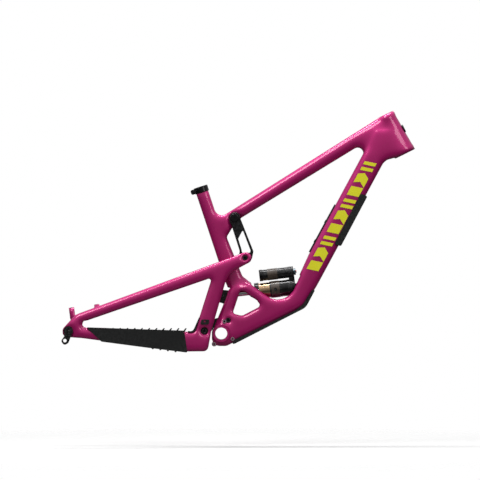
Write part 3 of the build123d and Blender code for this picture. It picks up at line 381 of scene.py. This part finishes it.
# ---------------------------------------------------------------- finishes
@dataclass(frozen=True)
class Finish:
    """A finish with a colour, mottling and worn edges."""

    name: str
    colour: Colour
    shade: Colour
    worn: Colour
    roughness: float
    metallic: float = 0.0
    wear: float = 0.3
    dust: float = 0.05
    specular: float = 0.5
    grain_scale: float = 60.0
    bump: float = 0.02
    coat: float = 0.0
    coat_roughness: float = 0.05

    def _shader(self) -> tuple[bpy.types.Material, Canvas, bpy.types.Node]:
        """Open a material with its Principled shader.

        Returns:
            The material, its canvas and the shader node.
        """
        material = bpy.data.materials.new(self.name)
        material.use_nodes = True
        material.node_tree.nodes.clear()
        canvas = Canvas(material.node_tree)
        shader = canvas.add("ShaderNodeBsdfPrincipled")
        out = canvas.add("ShaderNodeOutputMaterial")
        canvas.link(shader.outputs[0], out.inputs[0])
        shader.inputs["Metallic"].default_value = self.metallic
        shader.inputs["Specular IOR Level"].default_value = self.specular
        shader.inputs["Coat Weight"].default_value = self.coat
        shader.inputs["Coat Roughness"].default_value = self.coat_roughness
        return material, canvas, shader

    def _height(
        self, canvas: Canvas, effects: EffectLibrary, grain: bpy.types.Node,
    ) -> bpy.types.NodeSocket:
        """Height that feeds the bump.

        Args:
            canvas: The material's canvas.
            effects: Shared groups.
            grain: Grain group of the material.

        Returns:
            The height output.
        """
        return grain.outputs["Fine"]

    def _colour(
        self, canvas: Canvas, effects: EffectLibrary, grain: bpy.types.Node,
    ) -> bpy.types.NodeSocket:
        """Base colour before wear and dust.

        Args:
            canvas: The material's canvas.
            effects: Shared groups.
            grain: Grain group of the material.

        Returns:
            The colour output.
        """
        return canvas.mix(grain.outputs["Broad"], self.shade, self.colour)

    def build(self, effects: EffectLibrary) -> bpy.types.Material:
        """Make the material.

        Args:
            effects: Shared groups.

        Returns:
            The finished material.
        """
        material, canvas, shader = self._shader()
        grain = effects.place(canvas, Effect.GRAIN, Scale=self.grain_scale, Contrast=1.6)
        wear = effects.place(canvas, Effect.WEAR, Amount=self.wear)
        dust = effects.place(canvas, Effect.DUST, Amount=self.dust)
        base = self._colour(canvas, effects, grain)
        rubbed = canvas.mix(wear.outputs["Mask"], base, self.worn)
        dusty = canvas.mix(dust.outputs["Mask"], rubbed, DUST_COLOUR)
        canvas.link(dusty, shader.inputs["Base Color"])
        smoothest, roughest = self.roughness * 0.85, self.roughness * 1.15
        rough = canvas.remap(grain.outputs["Broad"], 0.0, 1.0, smoothest, roughest)
        dulled = canvas.math("MULTIPLY", dust.outputs["Mask"], 0.3)
        rough = canvas.math("ADD", rough, dulled, clamp=True)
        canvas.link(rough, shader.inputs["Roughness"])
        bump = canvas.add("ShaderNodeBump", Strength=self.bump, Distance=0.001)
        canvas.link(self._height(canvas, effects, grain), bump.inputs["Height"])
        canvas.link(bump.outputs[0], shader.inputs["Normal"])
        return material


@dataclass(frozen=True)
class Lacquer(Finish):
    """Deep gloss paint with fine flakes under a clear coat."""

    flake: Colour = (0.60, 0.06, 0.26)

    def _colour(
        self, canvas: Canvas, effects: EffectLibrary, grain: bpy.types.Node,
    ) -> bpy.types.NodeSocket:
        """Paint colour with scattered brighter flakes.

        Args:
            canvas: The material's canvas.
            effects: Shared groups.
            grain: Grain group of the material.

        Returns:
            The colour output.
        """
        peel = effects.place(canvas, Effect.PEEL)
        base = canvas.mix(grain.outputs["Broad"], self.shade, self.colour)
        bright = canvas.remap(peel.outputs["Flake"], 0.72, 1.0, 0.0, 0.35)
        return canvas.mix(bright, base, self.flake)

    def _height(
        self, canvas: Canvas, effects: EffectLibrary, grain: bpy.types.Node,
    ) -> bpy.types.NodeSocket:
        """Slow lacquer ripple.

        Args:
            canvas: The material's canvas.
            effects: Shared groups.
            grain: Grain group of the material.

        Returns:
            The height output.
        """
        return effects.place(canvas, Effect.PEEL).outputs["Height"]


@dataclass(frozen=True)
class Machined(Finish):
    """Turned or brushed metal."""

    def _height(
        self, canvas: Canvas, effects: EffectLibrary, grain: bpy.types.Node,
    ) -> bpy.types.NodeSocket:
        """Turned lines.

        Args:
            canvas: The material's canvas.
            effects: Shared groups.
            grain: Grain group of the material.

        Returns:
            The height output.
        """
        return effects.place(canvas, Effect.BRUSH).outputs["Lines"]


@dataclass(frozen=True)
class Rubber(Finish):
    """Moulded rubber with a pebbled skin."""

    def _height(
        self, canvas: Canvas, effects: EffectLibrary, grain: bpy.types.Node,
    ) -> bpy.types.NodeSocket:
        """Pebbled skin.

        Args:
            canvas: The material's canvas.
            effects: Shared groups.
            grain: Grain group of the material.

        Returns:
            The height output.
        """
        return effects.place(canvas, Effect.PEBBLE).outputs["Height"]


class Palette:
    """Every finish of the bicycle frame by its record slot."""

    MAGENTA = Lacquer(
        "magenta lacquer",
        colour=(0.52, 0.009, 0.165), shade=(0.46, 0.007, 0.145), worn=(0.62, 0.06, 0.26),
        roughness=0.36, metallic=0.30, wear=0.10, dust=0.0, specular=0.15, grain_scale=9.0, bump=0.002,
        coat=0.9, coat_roughness=0.10,
    )
    FINISHES: ClassVar[dict[str, Finish]] = {
        "carbon_magenta": MAGENTA,
        "black_link": Finish(
            "satin black link", (0.0045, 0.0045, 0.0045), (0.003, 0.003, 0.003), (0.10, 0.10, 0.11), 0.30,
            metallic=0.3, wear=0.25, dust=0.0, specular=0.3, grain_scale=120.0, bump=0.02, coat=0.35,
            coat_roughness=0.1,
        ),
        "black_anodised": Finish(
            "black anodising", (0.007, 0.007, 0.008), (0.004, 0.004, 0.005), (0.20, 0.20, 0.21), 0.30,
            metallic=0.6, wear=0.25, dust=0.0, specular=0.35, grain_scale=160.0, bump=0.03,
            coat=0.4,
        ),
        "shock_black": Finish(
            "gloss black anodising", (0.013, 0.013, 0.014), (0.008, 0.008, 0.009), (0.2, 0.2, 0.2), 0.20,
            metallic=0.7, wear=0.25, dust=0.02, grain_scale=90.0, bump=0.02, coat=0.5,
        ),
        "bronze_coat": Machined(
            "bronze slide coat", (0.52, 0.34, 0.20), (0.42, 0.26, 0.14), (0.70, 0.55, 0.40), 0.20,
            metallic=1.0, wear=0.3, dust=0.0, grain_scale=120.0, bump=0.05,
        ),
        "band_dark": Finish(
            "dark printed band", (0.070, 0.048, 0.036), (0.035, 0.026, 0.020), (0.2, 0.16, 0.12), 0.30,
            wear=0.2, dust=0.02, grain_scale=260.0, bump=0.02, coat=0.3,
        ),
        "black_plastic": Finish(
            "moulded black plastic", (0.013, 0.013, 0.014), (0.008, 0.008, 0.009), (0.07, 0.07, 0.07), 0.48,
            wear=0.3, dust=0.02, specular=0.35, grain_scale=220.0, bump=0.14,
        ),
        "black_rubber": Rubber(
            "moulded black rubber", (0.0115, 0.0125, 0.0125), (0.007, 0.0075, 0.0075), (0.05, 0.05, 0.05),
            0.60,
            wear=0.3, dust=0.02, specular=0.30, grain_scale=90.0, bump=0.22,
        ),
        "axle_steel": Machined(
            "blackened axle steel", (0.022, 0.022, 0.024), (0.012, 0.012, 0.013), (0.30, 0.30, 0.31), 0.30,
            metallic=0.9, wear=0.4, dust=0.0, grain_scale=240.0, bump=0.10,
        ),
        "bearing_steel": Machined(
            "bearing steel", (0.52, 0.52, 0.54), (0.40, 0.40, 0.42), (0.8, 0.8, 0.8), 0.28,
            metallic=1.0, wear=0.3, dust=0.0, grain_scale=240.0, bump=0.08,
        ),
        "polished_shaft": Machined(
            "polished shaft", (0.74, 0.74, 0.76), (0.66, 0.66, 0.68), (0.9, 0.9, 0.9), 0.08,
            metallic=1.0, wear=0.1, dust=0.0, grain_scale=60.0, bump=0.01,
        ),
        "insert_alloy": Machined(
            "bare alloy insert", (0.60, 0.60, 0.62), (0.46, 0.46, 0.48), (0.85, 0.85, 0.85), 0.30,
            metallic=1.0, wear=0.4, dust=0.0, grain_scale=200.0, bump=0.10,
        ),
        "lever_blue": Finish(
            "slate blue lever", (0.115, 0.180, 0.220), (0.080, 0.130, 0.165), (0.45, 0.5, 0.52), 0.32,
            metallic=0.7, wear=0.6, dust=0.02, grain_scale=180.0, bump=0.05,
        ),
        "dial_red": Finish(
            "red dial", (0.36, 0.035, 0.030), (0.28, 0.022, 0.020), (0.7, 0.35, 0.3), 0.30,
            metallic=0.7, wear=0.5, dust=0.02, grain_scale=180.0, bump=0.05,
        ),
    }
    YELLOW = Finish(
        "yellow graphic film", (0.98, 0.95, 0.026), (0.93, 0.89, 0.022), (0.9, 0.87, 0.3), 0.40,
        wear=0.05, dust=0.0, specular=0.3, grain_scale=40.0, bump=0.01, coat=0.25, coat_roughness=0.08,
    )

    def __init__(self, effects: EffectLibrary) -> None:
        """Build every material.

        Args:
            effects: Shared groups.
        """
        self.by_slot = {slot: finish.build(effects) for slot, finish in self.FINISHES.items()}
        self.yellow = self.YELLOW.build(effects)


# ---------------------------------------------------------------- pieces
def new_piece(
    name: str, mesh: bpy.types.Mesh, material: bpy.types.Material, body: Body,
) -> bpy.types.Object:
    """Turn a finished mesh into a piece that rides on a body.

    Args:
        name: Name of the piece.
        mesh: Its mesh in the row frame.
        material: Its material.
        body: CAD body that carries it.

    Returns:
        The new object.
    """
    piece = bpy.data.objects.new(name, mesh)
    bpy.context.scene.collection.objects.link(piece)
    mesh.materials.clear()
    mesh.materials.append(material)
    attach(piece, body.value)
    LOG.info("piece %s on %s: %d faces", name, body.value, len(mesh.polygons))
    return piece


def edge_ends(mesh: bpy.types.Mesh) -> np.ndarray:
    """Both end points of every edge.

    Args:
        mesh: Mesh to read.

    Returns:
        Vertex numbers, one row per edge.
    """
    ends = np.empty(len(mesh.edges) * 2, dtype=np.int64)
    mesh.edges.foreach_get("vertices", ends)
    return ends.reshape(-1, 2)


@dataclass
class CarbonShell:
    """Moulded carbon shell: a CAD solid whose joints are blended into one skin."""

    node: str
    body: Body
    palette: Palette
    voxel: float = 0.0019
    rounds: int = 45
    crown_rounds: int = 60
    broad_rounds: int = 0
    broad_reach: float = 0.0188
    edge_band: float = 0.012
    cell: float = 0.003
    pull: float = 0.5
    push_back: float = 1.03
    sheen_rounds: int = 34

    def _remeshed(self) -> bpy.types.Mesh:
        """Even mesh of the CAD solid.

        Returns:
            The new mesh.
        """
        source = bpy.data.objects.new(self.node + "_work", bpy.data.objects[self.node].data.copy())
        bpy.context.scene.collection.objects.link(source)
        remesh = source.modifiers.new("even", "REMESH")
        remesh.mode = "VOXEL"
        remesh.voxel_size = self.voxel
        graph = bpy.context.evaluated_depsgraph_get()
        mesh = bpy.data.meshes.new_from_object(source.evaluated_get(graph))
        bpy.data.objects.remove(source)
        return mesh

    def _inside(self, points: np.ndarray) -> np.ndarray:
        """Points of the outer sides that lie well inside the side outline.

        Args:
            points: Points in the row frame.

        Returns:
            One truth value per point.
        """
        margin = 8
        side = points[:, [0, 2]]
        column = np.floor((side - side.min(axis=0)) / self.cell).astype(int) + margin
        full = np.zeros(column.max(axis=0) + margin + 1, dtype=bool)
        full[column[:, 0], column[:, 1]] = True
        for _ in range(round(self.edge_band / self.cell)):
            core = full[1:-1, 1:-1] & full[:-2, 1:-1] & full[2:, 1:-1]
            core = core & full[1:-1, :-2] & full[1:-1, 2:]
            full[:] = False
            full[1:-1, 1:-1] = core
        return full[column[:, 0], column[:, 1]] & (np.abs(points[:, 1]) > self.broad_reach)

    def _blend(self, mesh: bpy.types.Mesh) -> None:
        """Round the joints without shrinking the tubes.

        Args:
            mesh: Mesh to change.
        """
        count = len(mesh.vertices)
        points = np.empty(count * 3)
        mesh.vertices.foreach_get("co", points)
        points = points.reshape(-1, 3)
        ends = edge_ends(mesh)
        degree = np.bincount(ends.ravel(), minlength=count).astype(float)

        def drift(axis: int) -> np.ndarray:
            """How far each point lies from the middle of its neighbours along one axis.

            Args:
                axis: 0, 1 or 2 for x, y or z.

            Returns:
                One distance per point.
            """
            near = np.bincount(ends[:, 0], points[ends[:, 1], axis], count)
            near += np.bincount(ends[:, 1], points[ends[:, 0], axis], count)
            return near / degree - points[:, axis]

        for _ in range(self.rounds):
            for strength in (self.pull, -self.pull * self.push_back):
                for axis in (0, 2):
                    points[:, axis] += drift(axis) * strength
        inside = self._inside(points)
        for _ in range(self.broad_rounds):
            points[:, 1] += drift(1) * self.pull * inside
        for _ in range(self.crown_rounds):
            points[:, 1] += drift(1) * self.pull
        mesh.vertices.foreach_set("co", points.ravel())
        mesh.update()

    def _even_sheen(self, mesh: bpy.types.Mesh) -> None:
        """Average the normals over their neighbourhood, so that highlights run on without breaks.

        Args:
            mesh: Mesh to change.
        """
        count = len(mesh.vertices)
        normals = np.empty(count * 3)
        mesh.vertex_normals.foreach_get("vector", normals)
        normals = normals.reshape(-1, 3)
        ends = edge_ends(mesh)
        for _ in range(self.sheen_rounds):
            total = normals.copy()
            for axis in range(3):
                total[:, axis] += np.bincount(ends[:, 0], normals[ends[:, 1], axis], count)
                total[:, axis] += np.bincount(ends[:, 1], normals[ends[:, 0], axis], count)
            normals = total / np.maximum(np.linalg.norm(total, axis=1, keepdims=True), 1e-9)
        mesh.normals_split_custom_set_from_vertices(normals.tolist())

    def build(self) -> bpy.types.Object:
        """Make the shell and let it stand for its CAD node.

        Returns:
            The shell.
        """
        mesh = self._remeshed()
        self._blend(mesh)
        mesh.polygons.foreach_set("use_smooth", np.ones(len(mesh.polygons), dtype=bool))
        self._even_sheen(mesh)
        material = self.palette.by_slot[CARBON_SLOT]
        piece = new_piece(self.node + "_shell", mesh, material, self.body)
        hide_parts(self.node)
        return piece


@dataclass
class TubeGraphic:
    """Row of plain slanted bars on both sides of the down tube."""

    palette: Palette
    start: Point = (0.2556, 0.2336)
    along: Point = (0.4757, 0.8796)
    first: float = -0.046
    pitch: float = 0.0405
    bar: float = 0.0285
    count: int = 9
    top_depth: float = 0.0135
    low_depth: float = 0.0470
    slant: float = 0.010
    thin_share: float = 0.36
    lift: float = 0.0317
    thickness: float = 0.0003

    def _point(self, along: float, depth: float) -> Point:
        """Side position on the tube.

        Args:
            along: Distance up the tube.
            depth: Distance below its upper face.

        Returns:
            x and z.
        """
        x = self.start[0] + self.along[0] * along + self.along[1] * depth
        z = self.start[1] + self.along[1] * along - self.along[0] * depth
        return x, z

    def _bar(self, start: float, end: float) -> list[Point]:
        """Outline of one slanted bar.

        Args:
            start: Where it begins along the tube.
            end: Where it ends along the tube.

        Returns:
            Four corners.
        """
        return [
            (start, self.top_depth), (end, self.top_depth),
            (end + self.slant, self.low_depth), (start + self.slant, self.low_depth),
        ]

    def _arrow(self, start: float, end: float) -> list[Point]:
        """Outline of one bar with a point and a notch.

        Args:
            start: Where it begins along the tube.
            end: Where it ends along the tube.

        Returns:
            Six corners.
        """
        middle = (self.top_depth + self.low_depth) / 2
        return [
            (start, self.top_depth), (end, self.top_depth), (end + self.slant, middle),
            (end, self.low_depth), (start, self.low_depth), (start + self.slant, middle),
        ]

    def _outlines(self) -> list[list[Point]]:
        """Outline of each bar as along and depth pairs: a wide bar, an arrow and two thin bars in turn.

        Returns:
            Closed outlines.
        """
        thin = self.bar * self.thin_share
        found = []
        for step in range(self.count):
            start = self.first + step * self.pitch
            end = start + self.bar
            if step % 3 == 1:
                found.append(self._arrow(start, end))
            elif step % 3 == 2:
                found.append(self._bar(start, start + thin))
                found.append(self._bar(end - thin, end))
            else:
                found.append(self._bar(start, end))
        return found

    def build(self) -> None:
        """Make the bars of both sides."""
        for side in Side:
            build = bmesh.new()
            for outline in self._outlines():
                inner, outer = [], []
                for along, depth in outline:
                    x, z = self._point(along, depth)
                    inner.append(build.verts.new((x, side.value * self.lift, z)))
                    face = self.lift + self.thickness
                    outer.append(build.verts.new((x, side.value * face, z)))
                build.faces.new(outer)
                build.faces.new(list(reversed(inner)))
                for index in range(len(outline)):
                    after = (index + 1) % len(outline)
                    build.faces.new((outer[index], inner[index], inner[after], outer[after]))
            bmesh.ops.recalc_face_normals(build, faces=build.faces)
            mesh = bpy.data.meshes.new("tube_graphic_" + side.name.lower())
            build.to_mesh(mesh)
            build.free()
            new_piece(mesh.name, mesh, self.palette.yellow, Body.FRONT)


@dataclass
class Hardware:
    """CAD nodes that keep their own shape and get a finish."""

    palette: Palette

    def dress(self, nodes: dict[str, bpy.types.Object], record: dict) -> None:
        """Give every shown CAD node its finish.

        Args:
            nodes: CAD objects by name.
            record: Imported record.
        """
        slots = {part["node"]: part["material_slot"] for part in record["subparts"]}
        for name, node in nodes.items():
            slot = slots[name]
            material = self.palette.by_slot[slot]
            if not node.material_slots:
                node.data.materials.append(material)
            for holder in node.material_slots:
                holder.material = material
            LOG.info("node %s: %s", name, slot)


# ---------------------------------------------------------------- studio
@dataclass(frozen=True)
class Lamp:
    """One soft area light: where it hangs, its width, its watts and its height as a share of the width."""

    name: str
    place: tuple[float, float, float]
    size: float
    power: float
    stretch: float = 1.0

    def hang(self, aim: Vector) -> None:
        """Put the light into the scene.

        Args:
            aim: Point it looks at.
        """
        data = bpy.data.lights.new(self.name, "AREA")
        data.shape = "RECTANGLE"
        data.size = self.size
        data.size_y = self.size * self.stretch
        data.energy = self.power
        lamp = bpy.data.objects.new(self.name, data)
        lamp.location = Vector(self.place)
        lamp.rotation_mode = "QUATERNION"
        lamp.rotation_quaternion = (aim - Vector(self.place)).to_track_quat("-Z", "Y")
        bpy.context.scene.collection.objects.link(lamp)
        LOG.info("lamp %s: %.0f W", self.name, self.power)


@dataclass
class Studio:
    """Pale floor, soft lights and a long lens."""

    floor_height: float = -0.3285
    floor_size: float = 6.0
    fade_start: float = 0.7
    fade_end: float = 1.5
    camera_distance: float = 14.0
    camera_x: float = 0.0541
    camera_z: float = 0.2695
    field_width: float = 1.3848
    aim: tuple[float, float, float] = (0.05, 0.0, 0.2)
    floor_seen: Colour = (0.75, 0.75, 0.75)
    floor_bounced: Colour = (0.10, 0.10, 0.10)
    sky_low: float = 0.04
    sky_high: float = 0.8
    LAMPS: ClassVar[tuple[Lamp, ...]] = (
        Lamp("overhead", (0.05, -0.10, 2.2), 1.5, 34.0, 0.18),
        Lamp("front_left", (-1.5, -2.7, 3.2), 1.5, 57.0),
        Lamp("front_right", (2.6, -3.4, 2.0), 1.4, 22.0),
        Lamp("back", (0.4, 3.0, 2.4), 2.0, 24.0),
    )

    def build(self) -> None:
        """Make the floor, the lights, the world and the camera."""
        self._floor()
        self._lights()
        self._world()
        self._camera()

    def _floor(self) -> None:
        """Plain pale floor."""
        half = self.floor_size / 2
        mesh = bpy.data.meshes.new("floor")
        corners = [(-half, -half), (half, -half), (half, half), (-half, half)]
        mesh.from_pydata([(x, y, self.floor_height) for x, y in corners], [], [(0, 1, 2, 3)])
        floor = bpy.data.objects.new("floor", mesh)
        bpy.context.scene.collection.objects.link(floor)
        material = bpy.data.materials.new("pale floor")
        material.use_nodes = True
        canvas = Canvas(material.node_tree)
        shader = material.node_tree.nodes["Principled BSDF"]
        shader.inputs["Roughness"].default_value = 0.95
        shader.inputs["Specular IOR Level"].default_value = 0.0
        path = canvas.add("ShaderNodeLightPath")
        shade = canvas.mix(path.outputs["Is Camera Ray"], self.floor_bounced, self.floor_seen)
        canvas.link(shade, shader.inputs["Base Color"])
        fade = canvas.add("ShaderNodeGroup", node_tree=self._fade_group())
        canvas.link(fade.outputs["Solid"], shader.inputs["Alpha"])
        mesh.materials.append(material)

    def _fade_group(self) -> bpy.types.NodeTree:
        """Mask that lets the floor end softly.

        Returns:
            The group.
        """
        tree = bpy.data.node_groups.new("floor fade", "ShaderNodeTree")
        tree.interface.new_socket("Solid", in_out="OUTPUT", socket_type="NodeSocketFloat")
        canvas = Canvas(tree)
        end = canvas.add("NodeGroupOutput")
        place = canvas.add("ShaderNodeTexCoord")
        length = canvas.add("ShaderNodeVectorMath", operation="LENGTH")
        canvas.link(place.outputs["Object"], length.inputs[0])
        solid = canvas.remap(length.outputs["Value"], self.fade_start, self.fade_end, 1.0, 0.0)
        canvas.link(solid, end.inputs["Solid"])
        return tree

    def _lights(self) -> None:
        """Narrow overhead light, two front lights and a rear edge light."""
        for lamp in self.LAMPS:
            lamp.hang(Vector(self.aim))

    def _world(self) -> None:
        """White surroundings: full white to the lens, bright above and dim below as a light."""
        world = bpy.data.worlds.new("studio")
        bpy.context.scene.world = world
        world.use_nodes = True
        canvas = Canvas(world.node_tree)
        world.node_tree.nodes.clear()
        seen = canvas.add("ShaderNodeBackground", Color=(1.0, 1.0, 1.0, 1.0), Strength=1.0)
        light = canvas.add("ShaderNodeBackground", Color=(1.0, 1.0, 1.0, 1.0))
        place = canvas.add("ShaderNodeTexCoord")
        split = canvas.add("ShaderNodeSeparateXYZ")
        canvas.link(place.outputs["Generated"], split.inputs[0])
        strength = canvas.remap(split.outputs["Z"], -0.25, 0.9, self.sky_low, self.sky_high)
        canvas.link(strength, light.inputs["Strength"])
        path = canvas.add("ShaderNodeLightPath")
        mix = canvas.add("ShaderNodeMixShader")
        out = canvas.add("ShaderNodeOutputWorld")
        canvas.link(path.outputs["Is Camera Ray"], mix.inputs[0])
        canvas.link(light.outputs[0], mix.inputs[1])
        canvas.link(seen.outputs[0], mix.inputs[2])
        canvas.link(mix.outputs[0], out.inputs[0])
        bpy.context.scene.view_settings.view_transform = "Standard"

    def _camera(self) -> None:
        """Long lens straight from the drive side."""
        data = bpy.data.cameras.new("camera")
        data.sensor_width = 36.0
        data.lens = data.sensor_width * self.camera_distance / self.field_width
        data.dof.use_dof = False
        camera = bpy.data.objects.new("camera", data)
        camera.location = (self.camera_x, -self.camera_distance, self.camera_z)
        camera.rotation_euler = (math.radians(90.0), 0.0, 0.0)
        bpy.context.scene.collection.objects.link(camera)
        bpy.context.scene.camera = camera


def main() -> None:
    """Build every piece around the frame."""
    logging.basicConfig(level=logging.INFO, format="%(name)s %(message)s")
    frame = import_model()
    effects = EffectLibrary()
    palette = Palette(effects)
    Hardware(palette).dress(frame["nodes"], frame["record"])
    CarbonShell("front_triangle", Body.FRONT, palette, broad_rounds=700).build()
    CarbonShell("swingarm", Body.SWINGARM, palette).build()
    TubeGraphic(palette).build()
    Studio().build()


if __name__ == "__main__":
    main()
